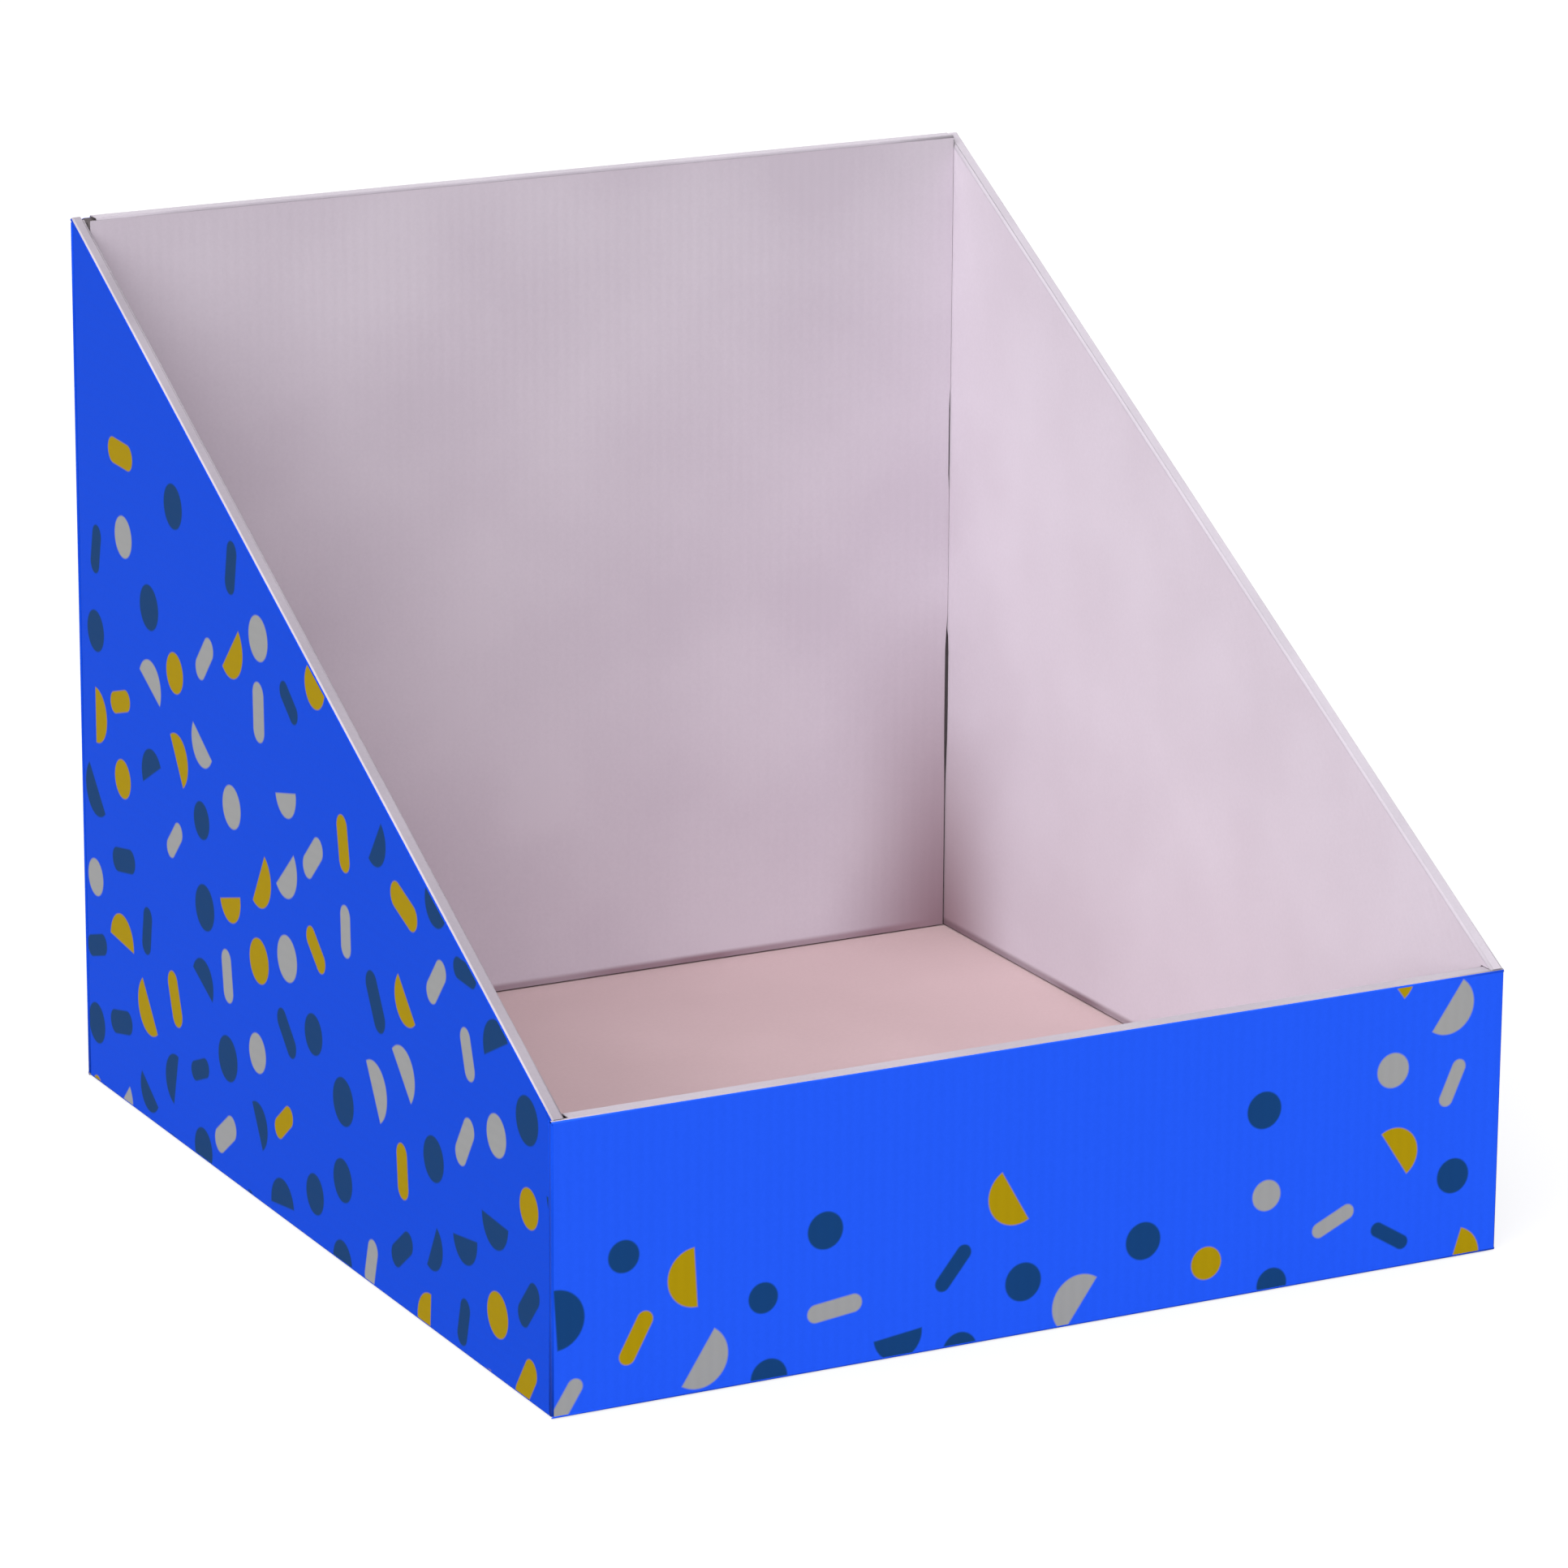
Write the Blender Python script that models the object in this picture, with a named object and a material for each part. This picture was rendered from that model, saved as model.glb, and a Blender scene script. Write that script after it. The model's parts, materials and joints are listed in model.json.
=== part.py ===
"""Counter display box: a rolled-over, double-walled tray folded from corrugated board.

Every panel of the folded tray is an object of its own. Its print side is drawn as on a flat
cutting layout, its folded edges are mitred like a V-groove, and its origin lies on its crease.
Metres, +Z up, open front towards -Y, origin in the middle of the underside.
"""

import math

import bmesh
import bpy
from mathutils import Vector

MM = 0.001

# The tray, over its outer faces
WIDTH = 280 * MM
DEPTH = 305 * MM
BACK_HEIGHT = 250 * MM
LIP_HEIGHT = 79 * MM

# The boards
BOARD = 1.5 * MM  # E-flute with white liners
PAD = 6.0 * MM  # double-walled stiffener on the base
CREASE_ROUND = 0.8 * MM  # of the print side where it runs round a fold

# What has to stay clear
FIT_GAP = 0.3 * MM  # between boards that lie face to face
SIDE_SLACK = 0.8 * MM  # between the two walls of a side, which its rim needs to roll
CREASE_GAP = 0.2 * MM  # taken off each board along a crease
PAD_GAP = 0.5 * MM  # round the pad, inside the outer walls
FLOOR_GAP = 1.0 * MM  # from the pad up to the inner walls
CORNER_GAP = 0.9 * MM  # between two inner walls that meet in a corner
CORNER_HOLE = 2.0 * MM  # from a side wall to the end of the front or back spine

# The corner flaps, which stand in the front and back cavities
FRONT_FLAP = 50 * MM
BACK_FLAP = 75 * MM
FLAP_TAPER = math.radians(6)  # of the top and bottom edges
FLAP_ROUND = 9 * MM
FLAP_RISE = 0.6 * MM  # over the pad
FLAP_TOP_SHARE = 0.6  # of the wall's height: an unrolling wall sweeps the rest of the cavity
FLAP_STEPS = 6
CREASE_STEPS = 3

# Worked out from the sizes above
SIDE_ROLL = 2 * BOARD + SIDE_SLACK  # an outer and an inner wall
END_ROLL = 3 * BOARD + 2 * FIT_GAP  # the same with a corner flap between them
PAD_TOP = BOARD + FIT_GAP + PAD
INNER_FOOT = PAD_TOP + FLOOR_GAP
SLOPE = math.atan2(BACK_HEIGHT - LIP_HEIGHT, DEPTH)
SIDE_END = DEPTH / 2 - BOARD - FIT_GAP  # where a side wall stops, inside the front and back walls

X, Y, Z = Vector((1, 0, 0)), Vector((0, 1, 0)), Vector((0, 0, 1))
UP_SLOPE = Vector((0, math.cos(SLOPE), math.sin(SLOPE)))
OFF_SLOPE = Vector((0, -math.sin(SLOPE), math.cos(SLOPE)))

# Colour, roughness; metallic is 0 throughout
PRINT = ((0.016, 0.1, 0.92, 1), 0.42)
WHITE = ((0.78, 0.76, 0.8, 1), 0.55)
PAD_WHITE = ((0.7, 0.6, 0.62, 1), 0.65)


def clear_scene():
    for old in list(bpy.data.objects):
        bpy.data.objects.remove(old, do_unlink=True)


def rim(y):
    """The height of the sides' slanted rim at this depth."""
    return LIP_HEIGHT + (y + DEPTH / 2) * math.tan(SLOPE)


def inset(outline, amounts):
    """A convex outline with each edge moved inwards by its own amount."""
    count = len(outline)
    moved = []
    for i in range(count):
        before, here, after = outline[i - 1], outline[i], outline[(i + 1) % count]
        if not amounts[i - 1] and not amounts[i]:
            moved.append(here)
            continue
        come, go = (here - before).normalized(), (after - here).normalized()
        turn = come.x * go.y - come.y * go.x
        # Where the two moved edges cross
        moved.append(here + (go * amounts[i - 1] - come * amounts[i]) / turn)
    return moved


def rounded(outline, at, radius):
    """A convex outline with the corners listed in at made round."""
    points = []
    for i, here in enumerate(outline):
        if i not in at:
            points.append(here)
            continue
        back = (outline[i - 1] - here).normalized()
        on = (outline[(i + 1) % len(outline)] - here).normalized()
        half = back.angle(on) / 2
        reach = radius / math.tan(half)
        centre = here + (back + on).normalized() * (radius / math.sin(half))
        start, end = here + back * reach - centre, here + on * reach - centre
        sweep = start.angle(end)
        for n in range(FLAP_STEPS + 1):
            a, b = sweep * (1 - n / FLAP_STEPS), sweep * n / FLAP_STEPS
            points.append(centre + (start * math.sin(a) + end * math.sin(b)) / math.sin(sweep))
    return points


def finish_of(name, finish):
    colour, roughness = finish
    material = bpy.data.materials.new(name)
    material.use_nodes = True
    shader = material.node_tree.nodes["Principled BSDF"]
    shader.inputs["Base Color"].default_value = colour
    shader.inputs["Roughness"].default_value = roughness
    shader.inputs["Metallic"].default_value = 0
    return material


def add(name, build, pivot, carrier, finish):
    """An object from a bmesh in world coordinates, with its origin at pivot, carried by carrier."""
    bmesh.ops.recalc_face_normals(build, faces=build.faces)
    bmesh.ops.translate(build, verts=build.verts, vec=-pivot)
    mesh = bpy.data.meshes.new(name)
    build.to_mesh(mesh)
    build.free()
    mesh.materials.append(finish_of(name, finish))
    obj = bpy.data.objects.new(name, mesh)
    bpy.context.scene.collection.objects.link(obj)
    obj.location = pivot
    if carrier:
        obj.parent = carrier
        obj.location = pivot - Vector(carrier["pivot"])
    obj["pivot"] = pivot
    return obj


def crease_profile():
    """How far in, and how deep, a creased edge lies, from the print side to the other liner.

    It is half of a rounded corner, up to the plane that halves the fold, and then a mitre.
    """
    steps = []
    for n in range(CREASE_STEPS + 1):
        a = math.pi / 4 * n / CREASE_STEPS
        steps.append((CREASE_ROUND * (1 - math.sin(a)), CREASE_ROUND * (1 - math.cos(a))))
    return steps + [(BOARD, BOARD)]


def board(name, outline, folds, place, inward, pivot, carrier, finish):
    """A panel: its print side is outline, set in space by place, and it is BOARD thick inwards.

    folds lists the edges that are creased, counted from the outline's first point. Two boards
    close along them at a right angle and open about the print side's edge.
    """
    folded = [i in folds for i in range(len(outline))]
    build = bmesh.new()
    rings = []
    for reach, depth in crease_profile():
        ring = inset(outline, [(CREASE_GAP + reach) * f for f in folded])
        rings.append([build.verts.new(place(p) + inward * depth) for p in ring])
    build.faces.new(rings[0])
    build.faces.new(rings[-1][::-1])
    for outer, inner in zip(rings, rings[1:]):
        for i in range(len(outline)):
            j = (i + 1) % len(outline)
            build.faces.new((outer[j], outer[i], inner[i], inner[j]))
    return add(name, build, pivot, carrier, finish)


def rectangle(left, low, right, high):
    return [Vector(p) for p in ((left, low), (right, low), (right, high), (left, high))]


def flat_base():
    """The base, creased on all four edges, and the stiffener that lies on it."""
    outline = rectangle(-WIDTH / 2, -DEPTH / 2, WIDTH / 2, DEPTH / 2)
    base = board(
        "base_panel", outline, {0, 1, 2, 3}, lambda p: X * p.x + Y * p.y, Z, Vector(), None, PRINT
    )
    build = bmesh.new()
    bmesh.ops.create_cube(build, size=1)
    across = 2 * (BOARD + PAD_GAP)
    bmesh.ops.scale(build, verts=build.verts, vec=(WIDTH - across, DEPTH - across, PAD))
    bmesh.ops.translate(build, verts=build.verts, vec=Z * (PAD_TOP - PAD / 2))
    add("floor_pad", build, Z * PAD_TOP, base, PAD_WHITE)
    return base


def end_wall(end, base):
    """The front or the back: an outer wall, a spine over its top and an inner wall down to the pad."""
    side, height = (-1, LIP_HEIGHT) if end == "front" else (1, BACK_HEIGHT)
    face, inward = Y * side * DEPTH / 2, -Y * side
    spine_half = WIDTH / 2 - SIDE_ROLL - CORNER_HOLE
    inner_half = WIDTH / 2 - SIDE_ROLL - CORNER_GAP

    foot = face
    outer = board(
        end + "_outer_wall",
        rectangle(-WIDTH / 2, 0, WIDTH / 2, height),
        {0, 2},
        lambda p: face + X * p.x + Z * p.y,
        inward,
        foot,
        base,
        PRINT,
    )
    top = face + Z * height
    spine = board(
        end + "_spine",
        rectangle(-spine_half, 0, spine_half, END_ROLL),
        {0, 2},
        lambda p: top + X * p.x + inward * p.y,
        -Z,
        top,
        outer,
        WHITE,
    )
    turn = top + inward * END_ROLL
    board(
        end + "_inner_wall",
        rectangle(-inner_half, INNER_FOOT, inner_half, height),
        {2},
        lambda p: face + inward * END_ROLL + X * p.x + Z * p.y,
        -inward,
        turn,
        spine,
        WHITE,
    )


def flap_outline(length, top):
    """A tapered corner flap from its crease, which is the outline's last edge."""
    low = PAD_TOP + FLAP_RISE
    drop = length * math.tan(FLAP_TAPER)
    points = ((0, low), (length, low + drop), (length, top - drop), (0, top))
    return rounded([Vector(p) for p in points], {1, 2}, FLAP_ROUND)


def side_wall(hand, base):
    """The left or the right: a slanted outer wall with two corner flaps, a spine and an inner wall."""
    side = -1 if hand == "left" else 1
    face, inward = X * side * WIDTH / 2, -X * side

    outer = board(
        hand + "_outer_wall",
        [
            Vector(p)
            for p in (
                (-SIDE_END, 0),
                (SIDE_END, 0),
                (SIDE_END, rim(SIDE_END)),
                (-SIDE_END, rim(-SIDE_END)),
            )
        ],
        {0, 1, 2, 3},
        lambda p: face + Y * p.x + Z * p.y,
        inward,
        face,
        base,
        PRINT,
    )

    for end, way, length, height in (
        ("front", -1, FRONT_FLAP, LIP_HEIGHT),
        ("back", 1, BACK_FLAP, BACK_HEIGHT),
    ):
        corner = face + Y * way * SIDE_END
        outline = flap_outline(length, height * FLAP_TOP_SHARE)
        board(
            f"{hand}_{end}_flap",
            outline,
            {len(outline) - 1},
            lambda p, corner=corner: corner + inward * p.x + Z * p.y,
            -Y * way,
            corner + Z * PAD_TOP,
            outer,
            PRINT,
        )

    # The spine is cut square, so its underside reaches further back than its top
    top = face + Z * rim(0)
    ahead = SIDE_END / math.cos(SLOPE)
    behind = (SIDE_END - BOARD * math.sin(SLOPE)) / math.cos(SLOPE)
    spine = board(
        hand + "_spine",
        rectangle(-ahead, 0, behind, SIDE_ROLL),
        {0, 2},
        lambda p: top + UP_SLOPE * p.x + inward * p.y,
        -OFF_SLOPE,
        top,
        outer,
        WHITE,
    )

    # The inner wall's front edge is square to the rim, so that it swings up clear of the lip
    turn = top + inward * SIDE_ROLL
    first = -DEPTH / 2 + END_ROLL + CORNER_GAP
    last = DEPTH / 2 - END_ROLL - CORNER_GAP
    run = (rim(first) - INNER_FOOT) * math.tan(SLOPE)
    board(
        hand + "_inner_wall",
        [
            Vector(p)
            for p in (
                (first + run, INNER_FOOT),
                (last, INNER_FOOT),
                (last, rim(last)),
                (first, rim(first)),
            )
        ],
        {2},
        lambda p: face + inward * SIDE_ROLL + Y * p.x + Z * p.y,
        -inward,
        turn,
        spine,
        WHITE,
    )


def main():
    clear_scene()
    base = flat_base()
    for end in ("front", "back"):
        end_wall(end, base)
    for hand in ("left", "right"):
        side_wall(hand, base)
    bpy.context.view_layer.update()


main()
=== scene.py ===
# %% [markdown]
# # A counter display box
# A display box is one sheet of printed corrugated board, cut, creased and folded up: a low lip in front,
# sides that slant up to a tall back, and every wall rolled over at its rim so that the inside is lined in
# white. This lesson dresses the solids of the box. Each panel gets its real build, two paper liners with
# fluting between them, and each crease gets the strip of liner that runs round the fold.

# %% Load the frame
import json
import math

import bmesh
import bpy
from mathutils import Matrix, Vector


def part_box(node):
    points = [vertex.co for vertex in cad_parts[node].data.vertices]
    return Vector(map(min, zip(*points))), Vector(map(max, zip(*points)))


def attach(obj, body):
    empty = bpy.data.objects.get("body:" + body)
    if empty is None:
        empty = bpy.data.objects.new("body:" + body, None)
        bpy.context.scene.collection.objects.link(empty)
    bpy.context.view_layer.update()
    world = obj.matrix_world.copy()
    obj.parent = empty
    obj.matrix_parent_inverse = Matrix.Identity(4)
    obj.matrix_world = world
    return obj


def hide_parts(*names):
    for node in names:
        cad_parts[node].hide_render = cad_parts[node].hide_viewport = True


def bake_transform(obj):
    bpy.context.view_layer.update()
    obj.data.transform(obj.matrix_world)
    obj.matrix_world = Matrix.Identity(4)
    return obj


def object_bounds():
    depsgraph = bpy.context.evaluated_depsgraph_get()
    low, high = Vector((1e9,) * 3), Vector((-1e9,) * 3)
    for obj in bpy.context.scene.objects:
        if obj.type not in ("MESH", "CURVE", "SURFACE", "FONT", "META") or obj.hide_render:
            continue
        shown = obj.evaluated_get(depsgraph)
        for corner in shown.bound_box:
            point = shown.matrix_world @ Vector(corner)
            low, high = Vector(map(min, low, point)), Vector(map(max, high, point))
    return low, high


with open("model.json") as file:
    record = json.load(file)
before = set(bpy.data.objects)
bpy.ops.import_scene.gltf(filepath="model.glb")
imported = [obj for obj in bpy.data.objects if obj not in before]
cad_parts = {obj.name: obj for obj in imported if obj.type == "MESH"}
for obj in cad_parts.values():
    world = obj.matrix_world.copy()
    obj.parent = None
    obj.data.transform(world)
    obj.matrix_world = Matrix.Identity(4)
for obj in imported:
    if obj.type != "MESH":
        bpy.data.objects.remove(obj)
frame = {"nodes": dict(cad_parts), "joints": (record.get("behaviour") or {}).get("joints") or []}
cad_low, cad_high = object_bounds()
joints = {joint["name"]: joint for joint in frame["joints"]}
print("CAD box, mm:", [round(1000 * size, 1) for size in cad_high - cad_low])

# %% [markdown]
# ## The camera
# The box was photographed from the left and a little above with a long lens, so its edges stay nearly
# parallel. The place, the lens and the small roll come from a fit on the outer corners of the box.

# %% Camera
CAMERA_PLACE = (-0.892889, -1.713052, 0.670992)
CAMERA_TURN, CAMERA_DROP, CAMERA_ROLL = (math.radians(angle) for angle in (27.64, 16.24, 0.372))
SENSOR_MM, LENS_MM = 36.0, 169.3


def new_object(name, data):
    made = bpy.data.objects.new(name, data)
    bpy.context.scene.collection.objects.link(made)
    return made


camera = new_object("camera", bpy.data.cameras.new("camera"))
camera.data.sensor_width = SENSOR_MM
camera.data.lens = LENS_MM
look = Matrix.Rotation(-CAMERA_TURN, 4, "Z") @ Matrix.Rotation(math.pi / 2 - CAMERA_DROP, 4, "X")
roll = Matrix.Rotation(CAMERA_ROLL, 4, "Z")
camera.matrix_world = Matrix.Translation(CAMERA_PLACE) @ look @ roll
bpy.context.scene.camera = camera
print("camera", [round(value, 3) for value in camera.location], "lens", LENS_MM)

# %% [markdown]
# ## Sizes
# All sizes that matter are already in the frame: the joints lie on the creases, and the board's thickness is
# the depth of the front wall. Only the paper inside the board is new. E-flute has about three flutes in a
# centimetre, and its liners are about a quarter of a millimetre thick.

# %% Sizes from the frame
def crease_at(name):
    return Vector(joints[name]["pos_m"])


HALF_WIDTH, HALF_DEPTH = cad_high.x, cad_high.y
BACK_HEIGHT = cad_high.z
LIP_HEIGHT = crease_at("front_spine_fold").z
SIDE_MIDDLE = crease_at("left_spine_fold").z
SIDE_ROLL = crease_at("left_inner_fold").x - crease_at("left_spine_fold").x
END_ROLL = crease_at("front_inner_fold").y - crease_at("front_spine_fold").y
UP_SLOPE = Vector(joints["right_spine_fold"]["axis"])
OFF_SLOPE = Vector((0, -UP_SLOPE.z, UP_SLOPE.y))
front_low, front_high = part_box("front_outer_wall")
BOARD = front_high.y - front_low.y
CREASE_IN = front_low.z - cad_low.z
SIDE_END = -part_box("left_front_flap")[0].y
PAD_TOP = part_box("floor_pad")[1].z
PAD = PAD_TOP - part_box("floor_pad")[0].z

MM = 0.001
LINER = 0.25 * MM
PAPER = 0.18 * MM
FLUTE = 3.3 * MM
PAD_FLUTE = 6.4 * MM
CREASE_ROUND = 0.8 * MM
EDGE_ROUND = 0.4 * MM
LAP = 0.05 * MM
print("board", round(BOARD / MM, 2), "rolls", round(SIDE_ROLL / MM, 2), round(END_ROLL / MM, 2), "mm")

# %% [markdown]
# ## Helpers for colours and nodes
# Print colours are known as sRGB hex values, while shaders count in linear light, so one function turns the
# first into the second. Another one adds a node with its links and settings, for shaders and geometry alike.
# The links are a row of inputs in order, or a dictionary of them by name or number.

# %% Colour and node helpers
# Short names for the kinds of node that come up most. The inputs of RANGE are a value, the two ends of the
# range that it lies in, and the two numbers that these ends become.
MATH, VECTORS, ROTATE = "ShaderNodeMath", "ShaderNodeVectorMath", "ShaderNodeVectorRotate"
MIX, RANGE, NOISE = "ShaderNodeMix", "ShaderNodeMapRange", "ShaderNodeTexNoise"
SPLIT, JOIN = "ShaderNodeSeparateXYZ", "ShaderNodeCombineXYZ"


def ink(hex_code):
    shares = [int(hex_code[at:at + 2], 16) / 255 for at in (1, 3, 5)]
    return [s / 12.92 if s <= 0.04045 else ((s + 0.055) / 1.055) ** 2.4 for s in shares] + [1.0]


def feed(tree, node, links):
    """Gives a node's inputs a value, a socket or the first output of another node."""
    for key, value in (links if isinstance(links, dict) else dict(enumerate(links))).items():
        if isinstance(key, int):
            socket = node.inputs[key]
        else:
            socket = next(one for one in node.inputs if one.enabled and one.name == key)
        if isinstance(value, bpy.types.Node):
            value = next(one for one in value.outputs if one.enabled)
        if isinstance(value, bpy.types.NodeSocket):
            tree.links.new(value, socket)
        else:
            socket.default_value = value


def put(tree, kind, links=(), operation=None, **settings):
    """A new node with its links and settings."""
    node = tree.nodes.new(kind)
    if operation:
        node.operation = operation
    for key, value in settings.items():
        setattr(node, key, value)
    feed(tree, node, links)
    return node


def new_finish(name):
    finish = bpy.data.materials.new(name)
    finish.use_nodes = True
    tree = finish.node_tree
    return finish, tree, tree.nodes["Principled BSDF"]


print("mid grey, linear:", [round(share, 3) for share in ink("#808080")])

# %% [markdown]
# ## Washboarding
# A thin liner sinks a few hundredths of a millimetre between the flutes under it, which shows as faint lines
# in raking light. Real waves would need a very fine mesh, so it is a bump: a sine across the flutes, which
# each panel carries in a UV map of its own, in metres. Paper fibres are far finer than a pixel, so their
# grain is drawn at 0.9 mm to show at all.

# %% Washboard bump
PRINT_SINK, LINER_SINK = 0.012 * MM, 0.01 * MM
GRAIN, GRAIN_SHARE = 0.9 * MM, 0.6


def washboard(tree, shader, pitch, sink):
    """Bumps a surface by its flutes and its grain, and returns the grain."""
    across = put(tree, SPLIT, [put(tree, "ShaderNodeUVMap", uv_map="flute")]).outputs["Y"]
    phase = put(tree, MATH, (across, 2 * math.pi / pitch), "MULTIPLY")
    wave = put(tree, MATH, [phase], "SINE")
    place = put(tree, "ShaderNodeTexCoord").outputs["Object"]
    grain = put(tree, NOISE, {"Vector": place, "Scale": 1 / GRAIN, "Detail": 3.0})
    both = put(tree, MATH, (grain, GRAIN_SHARE, wave), "MULTIPLY_ADD")
    bump = put(tree, "ShaderNodeBump", {"Height": both, "Distance": sink, "Strength": 1.0})
    feed(tree, shader, {"Normal": bump})
    return grain


print("washboard pitch", FLUTE / MM, "mm")

# %% [markdown]
# ## A scatter of plain shapes
# Small plain shapes are scattered over the print: dots, half-dots and short bars. As geometry they would be
# wasteful, so the shader draws them. It divides the panel into staggered cells, a little turned, and every
# cell draws the place, turn, size, kind and ink of its shape from a fixed random number.

# %% Cells of the scatter
CELL = 21 * MM
CELL_TURN = math.radians(24)


def cell_of(tree, seed):
    """Staggered cells on the panel: the place inside the cell, its number and where its middle lies."""
    spot = put(tree, "ShaderNodeUVMap", uv_map="panel")
    turned = put(tree, ROTATE, {"Vector": spot, "Angle": CELL_TURN}, rotation_type="Z_AXIS")
    cells = put(tree, VECTORS, {0: turned, "Scale": 1 / CELL}, "SCALE")
    row = put(tree, MATH, [put(tree, SPLIT, [cells]).outputs["Y"]], "FLOOR")
    odd = put(tree, MATH, (row, 2.0), "FLOORED_MODULO")
    stagger = put(tree, JOIN, [put(tree, MATH, (odd, 0.5), "MULTIPLY")])
    here = put(tree, VECTORS, (cells, stagger), "ADD")
    corner = put(tree, VECTORS, [here], "FLOOR")
    middle = put(tree, VECTORS, (corner, (0.5, 0.5, 0)), "ADD")
    inside = put(tree, VECTORS, (here, middle), "SUBTRACT")
    number = put(tree, VECTORS, (corner, (0, 0, seed)), "ADD")
    straight = put(tree, VECTORS, (middle, stagger), "SUBTRACT")
    back = put(tree, ROTATE, {"Vector": straight, "Angle": -CELL_TURN}, rotation_type="Z_AXIS")
    where = put(tree, VECTORS, {0: back, "Scale": CELL}, "SCALE")
    return inside, number, put(tree, SPLIT, [where]).outputs


def draws(tree, number, salt):
    salted = put(tree, VECTORS, (number, (0, 0, salt)), "ADD")
    noise = put(tree, "ShaderNodeTexWhiteNoise", {"Vector": salted})
    return put(tree, "ShaderNodeSeparateColor", [noise.outputs["Color"]]).outputs


print("cells of", CELL / MM, "mm")

# %% [markdown]
# ## One shape in its cell
# A dot is the distance from a point, a half-dot the same cut by a straight line, and a bar the distance from
# a short line. A draw picks one of the three, and a narrow ramp at its outline makes a clean mask.

# %% Shape mask
JITTER = 0.08
LEAST_SIZE, MORE_SIZE = 0.31, 0.1
HALF_DOTS_FROM, BARS_FROM = 0.36, 0.7
SOFT_EDGE = 0.012
# The radius of a dot, and half the length and the thickness of a bar, as shares of the shape's size.
FRONT_SHAPES, SIDE_SHAPES = (0.62, 0.66, 0.3), (0.8, 0.57, 0.43)


def picked(tree, draw, value, *others, **settings):
    """A value, or another one where the draw lies past that one's start."""
    for start, other in others:
        later = put(tree, MATH, (draw, start), "GREATER_THAN")
        value = put(tree, MIX, {"Factor": later, "A": value, "B": other}, **settings)
    return value


def shape_mask(tree, inside, place, kind, shapes):
    """One plain shape in the cell as a mask: a dot, a half-dot or a bar, by the draws in kind."""
    dot_round, bar_long, bar_thick = shapes
    shift = put(tree, JOIN, [put(tree, RANGE, (draw, 0.0, 1.0, -JITTER, JITTER)) for draw in place[:2]])
    moved = put(tree, VECTORS, (inside, shift), "ADD")
    angle = put(tree, MATH, (place[2], 2 * math.pi), "MULTIPLY")
    turned = put(tree, ROTATE, {"Vector": moved, "Angle": angle}, rotation_type="Z_AXIS")
    x, y = put(tree, SPLIT, [turned]).outputs[:2]
    size = put(tree, MATH, (kind[1], MORE_SIZE, LEAST_SIZE), "MULTIPLY_ADD")
    reach = put(tree, VECTORS, [turned], "LENGTH")
    dot = put(tree, MATH, (size, -dot_round, reach), "MULTIPLY_ADD")
    circle = put(tree, MATH, (reach, size), "SUBTRACT")
    below = put(tree, MATH, (y, -1.0), "MULTIPLY")
    half = put(tree, MATH, (circle, below), "MAXIMUM")
    aside = put(tree, MATH, [x], "ABSOLUTE")
    past = put(tree, MATH, (size, -bar_long, aside), "MULTIPLY_ADD")
    beyond = put(tree, MATH, (past, 0.0), "MAXIMUM")
    bar_reach = put(tree, VECTORS, [put(tree, JOIN, (beyond, y))], "LENGTH")
    bar = put(tree, MATH, (size, -bar_thick, bar_reach), "MULTIPLY_ADD")
    shape = picked(tree, kind[0], dot, (HALF_DOTS_FROM, half), (BARS_FROM, bar))
    return put(tree, RANGE, (shape, -SOFT_EDGE, SOFT_EDGE, 1.0, 0.0))


print("shapes of", [round(size * CELL / MM, 1) for size in (LEAST_SIZE, LEAST_SIZE + MORE_SIZE)], "mm")

# %% [markdown]
# ## Offset-printed liner
# The outside is a white liner printed all over in a strong cobalt blue and sealed with a matt varnish, with
# the scatter in navy, ochre and grey. The shapes thin out with height, so that the print is calm near the
# rim, except at the right end of the lip. The sides have fuller shapes, and deeper inks that are painted
# shade. The eye gets an even, saturated colour with hardly any gloss.

# %% Printed liner
# Cobalt, fresh and worn, for the ground, and navy, ochre and grey for the shapes.
FRONT_INKS = [ink(code) for code in ("#265FFF", "#225BFA", "#17437A", "#B0940C", "#A3A3A3")]
# The same inks printed deeper, as painted shade, for the sides, the back, the flaps and the base.
SHADED_SIDES_INKS = [ink(code) for code in ("#1348D0", "#1145CB", "#133A68", "#9E8408", "#959595")]
PLACE_SALT, KIND_SALT, PICK_SALT = 0.0, 31.7, 58.3
MOST_SHAPES, MOST_AT_END = 0.92, 0.9
OCHRE_FROM, GREY_FROM = 0.5, 0.74
FRONT_SEED, SIDE_SEED = 2.0, 18.0
# Heights in the print: shapes are many below the first and gone above the second.
FRONT_FADE, SIDE_FADE = (20 * MM, 52 * MM), (110 * MM, 195 * MM)
FRONT_MORE_FROM = 62 * MM


def scatter(tree, inks, shapes, seed, fade, more_from=None):
    """Where shapes are printed and in which ink. They thin out over fade, but less right of more_from."""
    inside, number, middle = cell_of(tree, seed)
    place, kind, pick = (draws(tree, number, salt) for salt in (PLACE_SALT, KIND_SALT, PICK_SALT))
    mask = shape_mask(tree, inside, place, kind, shapes)
    share = put(tree, RANGE, (middle["Y"], *fade, MOST_SHAPES, 0.0))
    if more_from:
        at_end = put(tree, RANGE, (middle["X"], more_from, more_from + 2 * CELL, 0.0, MOST_AT_END))
        share = put(tree, MATH, (share, at_end), "MAXIMUM")
    filled = put(tree, MATH, (pick[0], share), "LESS_THAN")
    shown = put(tree, MATH, (mask, filled), "MULTIPLY")
    navy, ochre, grey = inks
    return shown, picked(tree, pick[1], navy, (OCHRE_FROM, ochre), (GREY_FROM, grey), data_type="RGBA")


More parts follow.
